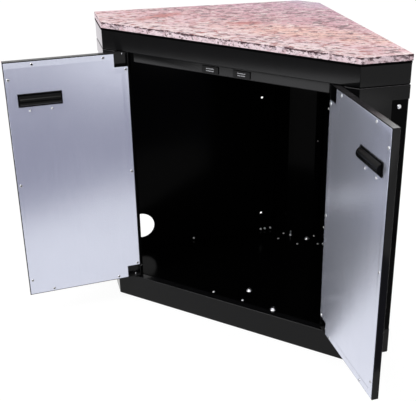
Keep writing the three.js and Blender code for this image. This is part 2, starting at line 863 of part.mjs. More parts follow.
function alongDoor(side, section, x0, x1) {
  const shape = new THREE.Shape(section);
  const geometry = new THREE.ExtrudeGeometry(shape, { depth: x1 - x0, bevelEnabled: false });
  geometry.rotateX(Math.PI / 2).rotateZ(Math.PI / 2);
  return solid(geometry.translate(Math.min(-side * x0, -side * x1), 0, 0));
}

// Pull pocket: a finger recess behind a thin bezel on the outer face.
function makePull(side) {
  const bezelBack = doorFront - seat;
  const bezelFront = bezelBack - pullBezelThickness;
  const reach = pullBezelMargin;
  const x0 = pullX0 - reach;
  const x1 = pullX1 + reach;
  const bezel = sidedBlock(-side, x0, x1, bezelFront, bezelBack, pullBottom - reach, pullTop + reach);
  const cup = alongDoor(side, pullSection(0, bezelFront), pullX0, pullX1);
  const inside = pullSection(pullWall, bezelFront - overrun);
  const hollow = alongDoor(side, inside, pullX0 + pullWall, pullX1 - pullWall);
  return bezel.add(cup).subtract(hollow);
}

// The ring that clips over the pull's back and covers the edge of the liner's window.
function makePullRing(side) {
  const y0 = linerBack + seat;
  const y1 = y0 + pullRingThickness;
  const frame = (reach, front, back) =>
    sidedBlock(-side, pullX0 - reach, pullX1 + reach, front, back, pullBottom - reach, pullTop + reach);
  return frame(pullRingMargin, y0, y1).subtract(frame(seat, y0 - overrun, y1 + overrun));
}

// A folded bracket that closes the door behind a notch and stiffens the pivot corner.
function makeHingePocket(side, upper) {
  const y0 = doorFront + doorSheet + seat;
  const y1 = skinBack - doorSheet - seat;
  const x0 = hingeEdge + doorSheet + seat;
  const x1 = notchX + seat + pocketSheet;
  const notchEdge = upper ? linerTop - linerNotchHeight : linerBottom + linerNotchHeight;
  const outerEdge = upper ? doorTop - doorSheet - seat : doorBottom + doorSheet + seat;
  const rise = upper ? 1 : -1;
  const shelfNear = notchEdge - rise * (seat + pocketSheet);
  const shelfFar = notchEdge - rise * seat;
  const outline = [
    new THREE.Vector2(x0, shelfNear),
    new THREE.Vector2(x1, shelfNear),
    new THREE.Vector2(x1, outerEdge),
    new THREE.Vector2(x1 - pocketSheet, outerEdge),
    new THREE.Vector2(x1 - pocketSheet, shelfFar),
    new THREE.Vector2(x0, shelfFar),
  ];
  return panel(sidedOutline(side, outline), y0, y1);
}

// A pivot pin with a collar inside the door's edge.
function makePin(upper) {
  const edge = upper ? doorTop : doorBottom;
  const rise = upper ? 1 : -1;
  const collarOuter = edge - rise * (doorSheet + seat);
  const collarInner = collarOuter - rise * pinCollarHeight;
  const shaft = barBetween(pinRadius, edge - rise * pinInsideDoor, edge + rise * pinBeyondDoor, 0, 0);
  return shaft.add(barBetween(pinCollarRadius, collarOuter, collarInner, 0, 0));
}

function makeDoor(side, name, opening) {
  const door = new THREE.Group();
  door.add(
    piece(`${name}_door_skin`, makeDoorSkin(side), blackPaint),
    piece(`${name}_door_liner`, makeDoorLiner(side), galvanised),
    piece(`${name}_door_pull`, makePull(side), blackPlastic),
    piece(`${name}_pull_ring`, makePullRing(side), blackPlastic),
    piece(`${name}_hinge_pocket_upper`, makeHingePocket(side, true), blackPaint),
    piece(`${name}_hinge_pocket_lower`, makeHingePocket(side, false), blackPaint),
    piece(`${name}_pivot_pin_upper`, makePin(true), brightSteel),
    piece(`${name}_pivot_pin_lower`, makePin(false), brightSteel),
  );
  door.position.set(side * pinX, pinInset, 0);
  door.rotation.z = side * opening;
  return door;
}

const cabinet = new THREE.Group();
cabinet.add(
  piece("granite_slab", makeSlab(), granite),
  piece("fascia", makeFascia(), blackPaint),
  piece("top_rail_rear", makeRearRail(), blackPaint),
  piece("header_rail", makeHeader(), blackPaint),
  piece("back_panel", makeBackPanel(), blackPaint),
  piece("plinth_front", makeFrontPlinth(), blackPaint),
  piece("plinth_rear", makeRearPlinth(), blackPaint),
  piece("floor_pan", makeFloorPan(), blackPaint),
);

[
  [-1, "left", leftDoorOpening],
  [1, "right", rightDoorOpening],
].forEach(([side, name, opening]) => {
  cabinet.add(
    piece(`top_rail_${name}`, makeSideRail(side), blackPaint),
    piece(`worktop_bearer_${name}`, makeWorktopBearer(side), blackPaint),
    piece(`pilaster_${name}`, makePilaster(side), blackPaint),
    piece(`side_panel_${name}`, makeSidePanel(side), blackPaint),
    piece(`joining_bolt_${name}`, makeJoiningBolt(side), brightSteel),
    piece(`plinth_${name}`, makeSidePlinth(side), blackPaint),
    piece(`base_bearer_${name}`, makeBaseBearer(side), blackPaint),
    piece(`pivot_bush_upper_${name}`, makeBush(side, true), blackPlastic),
    piece(`pivot_bush_lower_${name}`, makeBush(side, false), blackPlastic),
    piece(`magnet_catch_${name}`, makeCatch(side * catchOffset), blackPlastic),
  );
  Object.entries(poleHeights()).forEach(([level, z]) => {
    cabinet.add(piece(`magnet_pole_${level}_${name}`, makePole(side * catchOffset, z), brightSteel));
  });
  [
    ["front", footFrontDistance],
    ["rear", footRearDistance()],
  ].forEach(([row, y]) => {
    const x = side * baseBearerOffset;
    cabinet.add(
      piece(`levelling_foot_${row}_${name}`, makeFoot(x, y), brightSteel),
      piece(`foot_nut_${row}_${name}`, makeFootNut(x, y), brightSteel),
    );
  });
  cabinet.add(makeDoor(side, name, opening));
});

export default cabinet;
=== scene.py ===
# %% [markdown]
# # A corner cabinet of an outdoor kitchen
#
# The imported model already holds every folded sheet, door, pin and bush in its real size. This lesson
# dresses it: the camera first, then one finish at a time, then softer folds, then the screws, rivets and
# seals that only a close look needs, and last the studio. Everything is in metres, with X along the front,
# Y into the cabinet and Z up.

import json
import math

import bmesh
import bpy
from mathutils import Matrix, Vector


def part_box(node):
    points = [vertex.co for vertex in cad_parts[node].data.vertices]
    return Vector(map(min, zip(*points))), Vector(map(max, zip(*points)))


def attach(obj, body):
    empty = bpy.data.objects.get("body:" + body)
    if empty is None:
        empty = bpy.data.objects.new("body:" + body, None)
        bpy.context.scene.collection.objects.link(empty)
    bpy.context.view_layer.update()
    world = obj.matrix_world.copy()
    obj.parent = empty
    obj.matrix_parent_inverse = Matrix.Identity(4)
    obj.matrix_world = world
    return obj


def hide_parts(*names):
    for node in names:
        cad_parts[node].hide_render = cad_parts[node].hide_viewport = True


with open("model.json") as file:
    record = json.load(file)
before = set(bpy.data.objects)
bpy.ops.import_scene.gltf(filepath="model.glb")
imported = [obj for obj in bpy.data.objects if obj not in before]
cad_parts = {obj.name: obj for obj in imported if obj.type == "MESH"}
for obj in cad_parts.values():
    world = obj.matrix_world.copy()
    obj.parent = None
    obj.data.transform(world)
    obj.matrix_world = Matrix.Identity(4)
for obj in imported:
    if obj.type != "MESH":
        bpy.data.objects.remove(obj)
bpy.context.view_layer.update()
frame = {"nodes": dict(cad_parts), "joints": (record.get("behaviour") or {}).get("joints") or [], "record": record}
nodes = frame["nodes"]
print("pieces in the frame:", len(nodes))

# %% [markdown]
# ## The camera
#
# The photograph was taken from the right of the cabinet, above its worktop, looking down. The lens and
# the place come from measured edges of the slab, the doors and the plinth. A photograph that was cropped
# off centre has its middle elsewhere than the lens's axis, and a small camera shift repeats that.

# %% Place the camera
photo_width = 416
photo_height = 401
focal_length_px = 817.5
axis_px = (263.6, 192.8)
sensor_width_mm = 36
nearest_seen = 0.05
camera_place = Vector((1.0971, -1.8877, 1.4507))
camera_yaw = math.radians(27.05)
camera_pitch = math.radians(24.5)
camera_roll = math.radians(0.59)

forward = Vector((-math.sin(camera_yaw) * math.cos(camera_pitch),
                  math.cos(camera_yaw) * math.cos(camera_pitch),
                  -math.sin(camera_pitch)))
level_right = Vector((math.cos(camera_yaw), math.sin(camera_yaw), 0))
level_up = level_right.cross(forward)
right = level_right * math.cos(camera_roll) + level_up * math.sin(camera_roll)
up = level_up * math.cos(camera_roll) - level_right * math.sin(camera_roll)

lens = bpy.data.cameras.new("photo_camera")
lens.sensor_width = sensor_width_mm
lens.lens = focal_length_px * sensor_width_mm / photo_width
lens.shift_x = (photo_width / 2 - axis_px[0]) / photo_width
lens.shift_y = (axis_px[1] - photo_height / 2) / photo_width
lens.clip_start = nearest_seen
camera = bpy.data.objects.new("photo_camera", lens)
camera.matrix_world = Matrix((
    (right.x, up.x, -forward.x, camera_place.x),
    (right.y, up.y, -forward.y, camera_place.y),
    (right.z, up.z, -forward.z, camera_place.z),
    (0, 0, 0, 1)))
bpy.context.scene.collection.objects.link(camera)
bpy.context.scene.camera = camera
bpy.context.scene.view_settings.view_transform = "Standard"
print("lens", round(lens.lens, 2), "mm, shift", round(lens.shift_x, 4), round(lens.shift_y, 4))

# %% [markdown]
# ## A small language for materials
#
# A material is a sum: a base colour, less a stain, times some dust. Written as nodes and links that sum
# takes a page, so one class wraps a node's output and gives it Python's own operators. Each operator adds
# one Math node. Every other node comes from one method, which is told the node's type, its settings and
# what its sockets receive.

# %% A wrapped socket


def set_stops(ramp, stops):
    """Stops are pairs of a place and a grey level or a colour."""
    while len(ramp.elements) < len(stops):
        ramp.elements.new(0.5)
    for element, (place, value) in zip(ramp.elements, stops):
        element.position = place
        element.color = (*value, 1) if isinstance(value, tuple) else (value, value, value, 1)


class Wire:
    """One output of a material's nodes."""

    def __init__(self, tree, socket=None):
        self.tree = tree
        self.socket = socket

    def add(self, kind, settings=None, inputs=None, output=0):
        """A new node: its settings first, then the values or links of its sockets."""
        node = self.tree.nodes.new(kind)
        for name, value in (settings or {}).items():
            if name == "stops":
                set_stops(node.color_ramp, value)
            else:
                setattr(node, name, value)
        for name, value in (inputs or {}).items():
            if isinstance(value, Wire):
                self.tree.links.new(value.socket, node.inputs[name])
            else:
                node.inputs[name].default_value = value
        return Wire(self.tree, node.outputs[output])

    def math(self, operation, *values):
        return self.add("ShaderNodeMath", {"operation": operation}, dict(enumerate(values)))

    def __add__(self, other):
        return self.math("ADD", self, other)

    def __sub__(self, other):
        return self.math("SUBTRACT", self, other)

    def __rsub__(self, other):
        return self.math("SUBTRACT", other, self)

    def __mul__(self, other):
        return self.math("MULTIPLY", self, other)

    def __gt__(self, other):
        return self.math("GREATER_THAN", self, other)

    def clamped(self):
        return self.add("ShaderNodeClamp", {}, {0: self})

    __radd__ = __add__
    __rmul__ = __mul__


print("materials are written with", Wire.__name__)

# %% [markdown]
# ## Ramps and mixes
#
# A pattern such as noise gives a grey level. A ramp sharpens it into a mask, and a mix lays one colour over
# another by that mask. Colours go through Mix nodes, because a Math node would turn them grey.

# %% Ramps and mixes
share_socket, first_colour, second_colour, mixed_colour = 0, 6, 7, 2


def ramp(wire, *stops):
    return wire.add("ShaderNodeValToRGB", {"stops": stops}, {0: wire})


def mix(share, first, second):
    """A colour between two others, by a share."""
    colours = [c if isinstance(c, Wire) else (*c, 1) for c in (first, second)]
    inputs = {share_socket: share, first_colour: colours[0], second_colour: colours[1]}
    return share.add("ShaderNodeMix", {"data_type": "RGBA"}, inputs, output=mixed_colour)


print("helpers:", ramp.__name__, mix.__name__)

# %% [markdown]
# ## Patterns that every finish uses
#
# A real finish varies over the surface, in metres and not in picture points. So each pattern reads the
# object's own coordinates: it keeps its scale on a large and on a small piece, and it stays on a door that
# swings. A pattern can be stretched, which gives rolling lines or a stone that flows.

# %% Patterns


def object_place(wire, stretch=(1, 1, 1), turn=(0, 0, 0)):
    """Object coordinates in metres, turned and then stretched."""
    place = wire.add("ShaderNodeTexCoord", output="Object")
    inputs = {"Vector": place, "Rotation": turn}
    turned = wire.add("ShaderNodeVectorRotate", {"rotation_type": "EULER_XYZ"}, inputs)
    return wire.add("ShaderNodeVectorMath", {"operation": "MULTIPLY"}, {0: turned, 1: stretch})


def part_of(vector, axis):
    """One part of a vector, named "X", "Y" or "Z"."""
    return vector.add("ShaderNodeSeparateXYZ", {}, {0: vector}, output=axis)


def noise(place, scale, detail=3, roughness=0.55, swirl=0):
    inputs = {"Vector": place, "Scale": scale, "Detail": detail, "Roughness": roughness,
              "Distortion": swirl}
    return place.add("ShaderNodeTexNoise", {}, inputs)


def crystals(place, scale):
    """Voronoi cells, each with a grey level of its own."""
    cells = place.add("ShaderNodeTexVoronoi", {}, {"Vector": place, "Scale": scale}, output="Color")
    return cells.add("ShaderNodeSeparateColor", {}, {0: cells}, output="Red")


def bump(height, distance):
    """A relief whose full height, from 0 to 1, is a distance in metres."""
    inputs = {"Height": height, "Distance": distance, "Strength": 1.0}
    return height.add("ShaderNodeBump", {}, inputs)


print("patterns:", object_place.__name__, noise.__name__, crystals.__name__, bump.__name__)

# %% [markdown]
# ## Steady and changing values
#
# A value that is the same all over a finish, such as how strongly it refracts, is set on the shader's own
# socket. Only what changes over the surface arrives through a link. That keeps each material small, and a
# reader sees at once which of its properties are patterns.

# %% A material and its sockets


def new_material(name, **steady):
    """A material with its Principled shader, whose steady values are set on its own sockets."""
    material = bpy.data.materials.new(name)
    material.use_nodes = True
    shader = material.node_tree.nodes["Principled BSDF"]
    for socket, value in steady.items():
        shader.inputs[socket.replace("_", " ")].default_value = value
    return material, shader, Wire(material.node_tree)


def feed(wire, shader, **sockets):
    """Links patterns to the shader's sockets."""
    for socket, value in sockets.items():
        wire.tree.links.new(value.socket, shader.inputs[socket.replace("_", " ")])


print("materials are made by", new_material.__name__, "and", feed.__name__)

# %% [markdown]
# ## Black stoved paint
#
# The body is steel sheet with a thick black paint, cured in an oven. It is smooth but never flat: the
# paint draws into a faint orange peel, and hands and cloths leave soft marks that only the gloss shows.
# So the colour hardly changes, and the roughness and a very shallow bump do the work. Dust could be a second
# material, but it only lies where a face looks up, so a mask from the normal adds it to this one. The same pale
# mask also paints a highlight where light catches an upward face, so on some pieces it is dust and painted
# highlight together.

# %% Black paint
level_enough = 0.7
orange_peel = 0.00002
blue_cast = 1.1
dust_speck = (0.03, 0.029, 0.031)
# The pale colour of dust, which also paints highlights on upward faces.
pale_dust_and_highlight = (0.20, 0.19, 0.20)


def faces_up(wire):
    """1 where the surface looks up, else 0."""
    normal = wire.add("ShaderNodeNewGeometry", output="Normal")
    return part_of(normal, "Z") > level_enough


def make_black_paint(name, tone, gloss, dust_and_highlight, **steady):
    """Black paint: its tone, its least roughness, and how much pale dust and painted highlight lie on what faces
    up.
    """
    material, shader, wire = new_material(name, Metallic=0.0, **steady)
    place = object_place(wire)
    peel = noise(place, scale=260, detail=2)
    wiped = noise(object_place(wire, stretch=(1, 1, 0.25)), scale=9, detail=4)
    dust = ramp(noise(place, scale=700, detail=2), (0.66, 0.0), (0.80, 1.0))
    fresh = mix(dust * 0.2, (tone, tone, tone * blue_cast), dust_speck)
    patches = ramp(noise(place, scale=45, detail=4, roughness=0.7), (0.40, 0.55), (0.62, 1.0))
    # Pale paint on what faces up: dust, and on some pieces a painted highlight.
    dust_and_highlight_mask = faces_up(wire) * patches * dust_and_highlight
    colour = mix(dust_and_highlight_mask, fresh, pale_dust_and_highlight)
    rough = gloss + wiped * 0.06 + dust * 0.12 + dust_and_highlight_mask * 0.3
    feed(wire, shader, Base_Color=colour, Roughness=rough, Normal=bump(peel, orange_peel))
    return material


# %% [markdown]
# Four paints come from that one recipe. The body has the plain one. The doors' upper flanges carry a little dust,
# and the same pale mask also paints the light that catches them, a painted highlight. The narrow ledges on top of
# the door jambs carry much of that pale mask, and the pale line that it shows there is a painted highlight.
# Inside, the walls see only each other, and a darker and duller paint gives them painted shade, so that they stay
# as deep as the shade inside.

# %% Four black paints
# The skin paint carries dust and a painted highlight, the ledge paint a painted highlight, and the inside paint
# painted shade.
black_paint = make_black_paint("black_paint", tone=0.004, gloss=0.07, dust_and_highlight=0.0, IOR=1.24)
dust_and_highlight_paint = make_black_paint("black_paint_dust_and_highlight", tone=0.004, gloss=0.07, dust_and_highlight=0.14, IOR=1.24)
ledge_highlight_paint = make_black_paint("black_paint_ledge_highlight", tone=0.004, gloss=0.07, dust_and_highlight=0.9, IOR=1.24)
inner_shade_paint = make_black_paint("black_paint_inside_shade", tone=0.0008, gloss=0.12, dust_and_highlight=0.0, IOR=1.10)
print("made", black_paint.name, dust_and_highlight_paint.name, ledge_highlight_paint.name, inner_shade_paint.name)

# %% [markdown]
# ## Galvanised liner
#
# The inside of each door is a bare zinc-coated sheet. From a step away it is a soft mirror with a lavender
# cast. Close up it has fine rolling lines and the faint frost of zinc crystals. The crystals are Voronoi
# cells that change the roughness a little, and the rolling lines are a noise stretched along the height.
#
# The sheet isn't quite flat either. It waves a little as a whole, and its upper rim springs back from the
# pressed field. Both could be modelled, but a bend of less than three degrees moves only the reflection,
# so a bump gives it: above the height where the rim starts, the surface slopes away evenly.

# %% Galvanised steel
rim_start = 0.814
rim_slope = 0.045
sheet_wave = 0.0004
in_metres = 1.0
zinc_shade = (0.58, 0.605, 0.72)
zinc_light = (0.75, 0.77, 0.88)


def make_galvanised():
    material, shader, wire = new_material("galvanised", Metallic=0.78)
    place = object_place(wire)
    frost = crystals(place, scale=170)
    lines = noise(object_place(wire, stretch=(320, 320, 9)), scale=1, detail=3)
    height = part_of(place, "Z")
    sprung_rim = height.math("MAXIMUM", height - rim_start, 0) * rim_slope
    cloud = noise(place, scale=5, detail=3)
    shade = 0.5 + (frost - 0.5) * 0.06 + (lines - 0.5) * 0.45 + (cloud - 0.5) * 0.5
    colour = mix(shade.clamped(), zinc_shade, zinc_light)
    rough = 0.25 + (frost - 0.5) * 0.01 + (lines - 0.5) * 0.04
    relief = bump(cloud * sheet_wave - sprung_rim, in_metres)
    feed(wire, shader, Base_Color=colour, Roughness=rough, Normal=relief)
    return material


galvanised = make_galvanised()
print("made", galvanised.name)

# %% [markdown]
# ## Bright zinc on bolts, feet and magnet plates
#
# Small hardware is plated: bright, slightly blue, and a little cloudy. A single metal would do for all of it from
# afar. The screws and bolts inside are the palest: their paler copy of the plate is in part a painted highlight,
# which stands in for their glint against the black. The pole strips of the magnetic catches are dark, so one
# recipe takes its dullest tone, its brightest tone and its gloss.

# %% Zinc plate
plating_relief = 0.00002


def make_zinc(name, dull, bright, gloss):
    material, shader, wire = new_material(name, Metallic=1.0)
    cloud = noise(object_place(wire), scale=180, detail=3)
    colour = mix(cloud, (dull, dull, dull * 1.03), (bright, bright, bright * 1.02))
    rough = gloss + cloud * 0.16
    feed(wire, shader, Base_Color=colour, Roughness=rough, Normal=bump(cloud, plating_relief))
    return material


zinc_steel = make_zinc("zinc_steel", dull=0.60, bright=0.82, gloss=0.18)
# A paler copy of the plate for the screws inside, in part a painted highlight for their glint.
screw_steel_glint = make_zinc("screw_steel_glint", dull=0.65, bright=0.85, gloss=0.24)
pole_steel = make_zinc("pole_steel", dull=0.16, bright=0.24, gloss=0.18)
print("made", zinc_steel.name, screw_steel_glint.name, pole_steel.name)

# %% [markdown]
# ## Black moulded plastic
#
# The pulls, catches and bushes are moulded in black plastic with a fine spark-eroded grain. The grain is
# a bump from small cells of noise, and it widens the highlight along the round back of a pull.

# %% Black plastic
spark_grain = 0.00001
plastic_deep = (0.001, 0.001, 0.001)
plastic_rubbed = (0.003, 0.003, 0.003)


def make_black_plastic():
    material, shader, wire = new_material("black_plastic", IOR=1.19, Metallic=0.0)
    place = object_place(wire)
    grain = noise(place, scale=1500, detail=2)
    rubbed = noise(place, scale=30, detail=3)
    colour = mix(rubbed, plastic_deep, plastic_rubbed)
    rough = 0.10 + rubbed * 0.08
    feed(wire, shader, Base_Color=colour, Roughness=rough, Normal=bump(grain, spark_grain))
    return material


black_plastic = make_black_plastic()
print("made", black_plastic.name)

# %% [markdown]
# ## Pink granite: the ground
#
# The stone is a polished granite that flows: pale feldspar with rose, orange and mauve bands that run
# along the front, and a scatter of black mica. It could be one noise with many colours, but then all its
# marks would have one size. So each layer is a pattern of its own. The ground comes first: bands from
# front to rear, oval drifts of colour, soft clouds, and milky crystals.

# %% Bands, drifts and milk of the stone
band_colours = ((0.04, (0.85, 0.66, 0.68)), (0.13, (0.79, 0.50, 0.55)),
                (0.30, (0.69, 0.35, 0.41)), (0.50, (0.62, 0.31, 0.43)))
peach_stone = (0.89, 0.53, 0.43)
cloud_stone = (0.52, 0.22, 0.27)
milk_stone = (0.90, 0.80, 0.76)
rust_stone = (0.53, 0.12, 0.11)


def drift_patch(wire, middle, turn, length, width):
    """An oval drift with a ragged edge: 1 in its middle and 0 outside, by its half length and width."""
    place = object_place(wire, stretch=(1 / length, 1 / width, 0), turn=(0, 0, -math.radians(turn)))
    centre = Matrix.Rotation(-math.radians(turn), 2) @ Vector(middle)
    inputs = {0: place, 1: (centre.x / length, centre.y / width, 0)}
    apart = wire.add("ShaderNodeVectorMath", {"operation": "DISTANCE"}, inputs, output="Value")
    ragged = noise(object_place(wire), scale=24, detail=3, roughness=0.6) * 1.4 - 0.7
    return ramp(apart + ragged, (0.30, 1.0), (1.0, 0.0))


def stone_ground(wire, flow, grain, wander):
    """Bands, a long peach drift, clouds and milky crystals, then two short rusty drifts."""
    peach = drift_patch(wire, middle=(0.16, 0.17), turn=5, length=0.36, width=0.10)
    banded = mix(peach * 0.85, ramp(wander, *band_colours), peach_stone)
    cloud = ramp(noise(flow, scale=16, detail=3, roughness=0.6, swirl=0.8), (0.46, 0.0), (0.64, 1.0))
    clouded = mix(cloud * 0.45, banded, cloud_stone)
    milk = ramp(noise(grain, scale=60, detail=3, roughness=0.6, swirl=0.8), (0.52, 0.0), (0.62, 1.0))
    milky = mix(milk * 0.65, clouded, milk_stone)
    rust = (drift_patch(wire, middle=(-0.295, 0.150), turn=67, length=0.11, width=0.035)
            + drift_patch(wire, middle=(-0.02, 0.20), turn=35, length=0.08, width=0.03))
    return mix(rust.clamped() * 0.9, milky, rust_stone)


print("the ground has", len(band_colours), "bands")

# %% [markdown]
# ## Pink granite: the dark crystals
#
# Over the ground lie dark red swirls, fine grains and flecks of nearly black mica. They turn from red to
# purple towards the rear. The flecks crowd together in places and thin out in others, so a slower noise
# shifts the level at which a fleck begins.

# %% Swirls, grains and flecks of the stone
deep_red = (0.32, 0.03, 0.02)
deep_purple = (0.17, 0.01, 0.05)
mica_top = (0.09, 0.004, 0.02)


def dark_crystals(ground, grain, depth, spread):
    """Swirls, fine grains and mica flecks over the ground."""
    purple = (depth * 4 - 0.6).clamped()
    swirl = ramp(noise(grain, scale=70, detail=4, roughness=0.65, swirl=0.6), (0.53, 0.0), (0.59, 1.0))
    fine = ramp(noise(grain, scale=130, detail=3, roughness=0.7), (0.42, 1.0), (0.54, 0.0))
    rosy = mix((swirl * 0.75 + fine * 0.30).clamped(), ground, mix(purple, deep_red, deep_purple))
    crowd = (spread - 0.5) * 0.3 - purple * 0.02
    flecks = ramp(noise(grain, scale=88, detail=3, roughness=0.6) + crowd, (0.385, 1.0), (0.425, 0.0))
    return mix(flecks * 0.9, rosy, mica_top)


print("dark crystals:", deep_red, deep_purple, mica_top)

# %% [markdown]
# ## Pink granite: the sawn edge
#
# The slab's edge is honed and not polished, so it is paler and shows black specks, more of them towards
# the right end. The saw chips the upper arris, and the chips join into a broken dark line. The line could
# be a strip of its own, but a mask from the height, roughened by noise, breaks off as real chips do.

# %% The sawn edge of the stone
chips_start = 0.9065
chips_per_metre = 200
specks_crowd_from = 0.25
honed_stone = (0.78, 0.66, 0.72)
mica_edge = (0.04, 0.012, 0.018)


def sawn_edge(stone, grain, place, spread, edge):
    """The stone with a paler edge, specks on it, and a chipped dark line under the upper arris."""
    honed = mix(edge * 0.65, stone, honed_stone)
    ragged = (noise(grain, scale=90, detail=3, roughness=0.7) - 0.5) * 3
    chipped = (part_of(place, "Z") - chips_start) * chips_per_metre + ragged
    arris = ramp(chipped, (0.30, 0.0), (0.80, 1.0)) * edge
    broken = noise(grain, scale=130, detail=4, roughness=0.7) + (spread - 0.5) * 0.3
    chips = ramp(broken, (0.50, 1.0), (0.56, 0.0))
    right_end = ((part_of(place, "X") - specks_crowd_from) * 0.6).clamped() * 0.5
    speckle = noise(grain, scale=190, detail=3, roughness=0.65) + (spread - 0.5) * 0.4 - right_end
    specks = ramp(speckle, (0.395, 1.0), (0.455, 0.0)) * edge
    return mix((chips * arris + specks * 0.8).clamped() * 0.95, honed, mica_edge)


print("chips start at", chips_start, "m")

# %% [markdown]
# ## Pink granite: the whole stone
#
# The clouds and crystals are stretched along the flow, which runs at 30 degrees to the front. A mauve tint painted
# over the rear corner is a painted reflection. The polish is a coat over the stone, so the colour stays deep under
# a clear reflection, and the honed edge has only a little of it.

# %% Granite
along_flow = (0, 0, math.radians(-30))
crystal_relief = 0.00001
rear_reflection_stone = (0.46, 0.38, 0.54)


def make_granite():
    material, shader, wire = new_material("granite", IOR=1.16, Coat_Roughness=0.05, Coat_IOR=1.32)
    place = object_place(wire)
    flow = object_place(wire, stretch=(0.4, 1, 1), turn=along_flow)
    grain = object_place(wire, stretch=(0.45, 1, 1), turn=along_flow)
    spread = noise(flow, scale=30, detail=3)
    polished = faces_up(wire)
    depth = part_of(place, "Y")
    wander = depth + (noise(flow, scale=9, detail=3, roughness=0.6) - 0.5) * 0.16
    ground = stone_ground(wire, flow, grain, wander)
    flecked = dark_crystals(ground, grain, depth, spread)
    # Painted reflection: a mauve tint over the rear corner.
    rear_reflected = mix(ramp(wander, (0.46, 0.0), (0.56, 1.0)) * 0.55, flecked, rear_reflection_stone)
    colour = sawn_edge(rear_reflected, grain, place, spread, 1 - polished)
    crystal = crystals(flow, scale=210)
    rough = 0.42 - polished * 0.16 + crystal * 0.10
    feed(wire, shader, Base_Color=colour, Roughness=rough, Coat_Weight=0.1 + polished * 0.3,
         Normal=bump(crystal, crystal_relief))
    return material


granite = make_granite()
finishes = {"black_paint": black_paint, "galvanised": galvanised, "zinc_steel": zinc_steel,
            "black_plastic": black_plastic, "granite": granite}
print("finishes:", ", ".join(finishes))

# %% [markdown]
# ## Dress the frame
#
# The record names a finish for each node, so one loop gives every node its material. Four kinds of node depart
# from the record's plain paint or zinc, because they look different: the inner walls, whose darker paint gives
# painted shade, the door jambs, whose pale ledges are a painted highlight, the door skins, with a little dust and
# a painted highlight on their upper flanges, and the pole strips of the catches.

# %% A finish for every node
slot_of = {part["node"]: part["material_slot"] for part in frame["record"]["subparts"]}
outer_walls = ("back_panel", "side_panel_left", "side_panel_right")
inner_walls = ("floor_pan", *outer_walls)


def finish_of(name):
    # Inner walls get painted shade, jambs a painted highlight, skins dust and a painted highlight.
    if name in inner_walls:
        return inner_shade_paint
    if name.startswith("pilaster"):
        return ledge_highlight_paint
    if name.endswith("door_skin"):
        return dust_and_highlight_paint
    return pole_steel if name.startswith("magnet_pole") else finishes[slot_of[name]]


def paint(piece, material):
    piece.data.materials.clear()
    piece.data.materials.append(material)


for name, node in nodes.items():
    paint(node, finish_of(name))
print("dressed", len(nodes), "nodes")

# %% [markdown]
# ## Round the folds
#
# A folded sheet shows a soft line of light along each fold. The frame's meshes are loose triangles, so
# their folds would look cut with a knife. A copy whose corners are merged can be shaded smooth: faces that
# meet at less than the fold limit share their normals, and a Weighted Normal modifier keeps the wide faces
# flat, so that the turn of light happens in the fold alone.
#
# The back and side panels are one sheet each, seen from both sides. Their inner faces have the darker paint of the
# inside, which paints its shade, and the faces that look to the rear get the plain body paint as a second
# material.

# %% Merge a node's corners
fold_limit = math.radians(40)
flat_enough = math.radians(0.3)
weld_distance = 0.00002
looks_rearward = 0.6


def merged_copy(name):
    """A copy of a node's mesh with its corners merged, smooth over its folds."""
    mesh = nodes[name].data.copy()
    shape = bmesh.new()
    shape.from_mesh(mesh)
    bmesh.ops.remove_doubles(shape, verts=shape.verts, dist=weld_distance)
    bmesh.ops.dissolve_limit(shape, angle_limit=flat_enough, verts=shape.verts,
                             edges=shape.edges, use_dissolve_boundaries=False)
    for face in shape.faces:
        face.smooth = True
    for edge in shape.edges:
        edge.smooth = edge.calc_face_angle(math.pi) < fold_limit
    if name in outer_walls:
        mesh.materials.append(black_paint)
        for face in shape.faces:
            face.material_index = int(face.normal.y > looks_rearward)
    shape.to_mesh(mesh)
    shape.free()
    return mesh


print("corners closer than", weld_distance, "m are merged")

# %% [markdown]
# No real edge is perfectly sharp. Paint draws round the edge of a sheet, and a thin line of light shows
# there. A Bevel modifier of half a millimetre gives that line, and a wider one on the door jambs, which are
# folded from the thickest sheet. The floor pan, the back panel and the side panels keep their plain edges.

# %% Smooth copies of the folded and moulded pieces
arris_round = 0.0005
ledge_round = 0.0012
body_of = {name: body for body, members in frame["record"]["behaviour"]["bodies"].items()
           for name in members}


def add_piece(name, mesh, body):
    """A mesh as a piece of the object that moves with a body."""
    piece = bpy.data.objects.new(name, mesh)
    bpy.context.scene.collection.objects.link(piece)
    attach(piece, body)
    return piece


def smooth_shell(name):
    """A smooth copy with rounded arrises that stands for the node."""
    shell = add_piece(name + "_smooth", merged_copy(name), body_of[name])
    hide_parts(name)
    if name not in inner_walls:
        soft_edge = shell.modifiers.new("rounded arrises", "BEVEL")
        soft_edge.width = ledge_round if name.startswith("pilaster") else arris_round
        soft_edge.segments = 2
        soft_edge.angle_limit = fold_limit
    weights = shell.modifiers.new("flat faces stay flat", "WEIGHTED_NORMAL")
    weights.keep_sharp = True


folded = ["granite_slab", "fascia", "plinth_front", "header_rail", "back_panel", "floor_pan"]
for side in ("left", "right"):
    folded += ["pilaster_" + side, "side_panel_" + side, "joining_bolt_" + side, "top_rail_" + side]
    folded += [side + "_door_skin", side + "_door_liner", side + "_door_pull", side + "_pull_ring"]
for name in folded:
    smooth_shell(name)
print("smoothed", len(folded), "pieces")

# %% [markdown]
# ## Rivets and screws
#
# Each door liner is held by blind rivets: a low dome with a small dark pit where the pin broke off. A
# rivet is a turned shape, so its outline is drawn once, and every rivet is that outline spun round an axis
# and stood in its place. One piece holds all the rivets of a kind on a door, because they move together.

# %% A turned head
spin_steps = 20


def connected(starts):
    """All the vertices that edges join to the first ones."""
    found = set(starts)
    reached = list(starts)
    while reached:
        reached = [edge.other_vert(vertex) for vertex in reached for edge in vertex.link_edges
                   if edge.other_vert(vertex) not in found]
        found.update(reached)
    return list(found)


